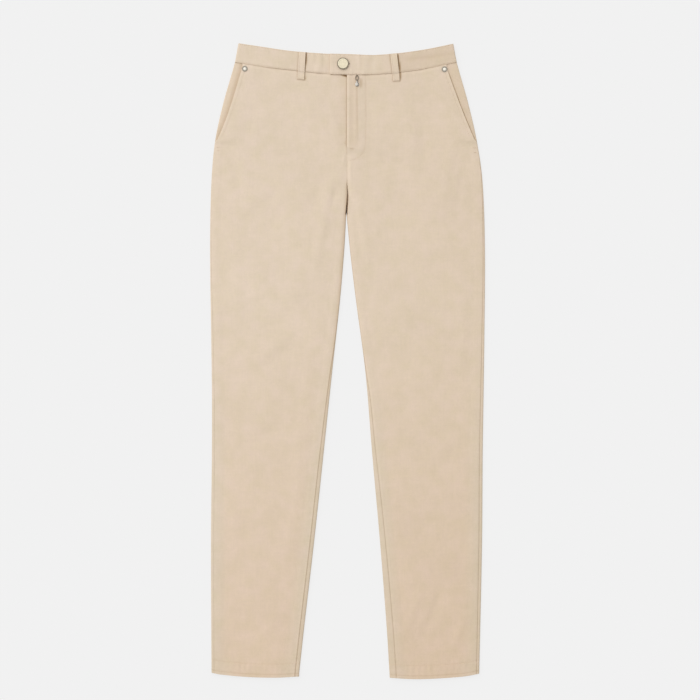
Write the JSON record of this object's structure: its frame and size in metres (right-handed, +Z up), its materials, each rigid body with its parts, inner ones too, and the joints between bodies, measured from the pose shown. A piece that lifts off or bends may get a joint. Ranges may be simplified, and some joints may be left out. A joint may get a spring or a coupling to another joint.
{
  "type": "chino trousers",
  "caption": "Slim straight cotton chino trousers laid flat, front up, with a buttoned waistband, slant pockets, belt loops, rivets and a small metal charm on the fly.",
  "frame": {"origin": "middle of the rectangle that the trousers cover, on the surface they lie on", "axes": "+Y towards the waist, +X towards the wearer's left, +Z up, out of the trousers' front"},
  "size_m": [0.4678, 1.0808, 0.0124],
  "materials": {
    "twill": "washed cotton twill, beige, matt",
    "pocket_twill": "the same twill in the shade of the pocket mouth",
    "button_rim": "antiqued dark metal rim",
    "button_face": "ivory insert, satin, with a pressed ring",
    "rivet": "antiqued dark metal with a worn bright centre",
    "charm": "satin silver-coloured metal"
  },
  "bodies": {
    "trousers": {"front_right": "twill", "front_left": "twill", "back_right": "twill", "back_left": "twill", "pocket_facing_right": "pocket_twill", "pocket_facing_left": "pocket_twill", "waistband_right": "twill", "waistband_left": "twill", "belt_loop_front_right": "twill", "belt_loop_front_left": "twill", "belt_loop_back_right": "twill", "belt_loop_back_center": "twill", "belt_loop_back_left": "twill", "button": "button_rim", "button_face": "button_face", "rivet_right": "rivet", "rivet_left": "rivet", "charm_eye": "charm"},
    "charm_ring": {"charm_ring": "charm"},
    "charm_drop": {"charm_drop": "charm"}
  },
  "joints": [
    {"name": "ring_lift", "type": "hinge", "parent": "trousers", "child": "charm_ring", "pos_m": [0.01605, 0.4845, 0.00929], "axis": [-1, 0, 0], "range_deg": [0, 120]},
    {"name": "drop_swing", "type": "hinge", "parent": "charm_ring", "child": "charm_drop", "pos_m": [0.01605, 0.4773, 0.00929], "axis": [-1, 0, 0], "range_deg": [0, 75]}
  ]
}
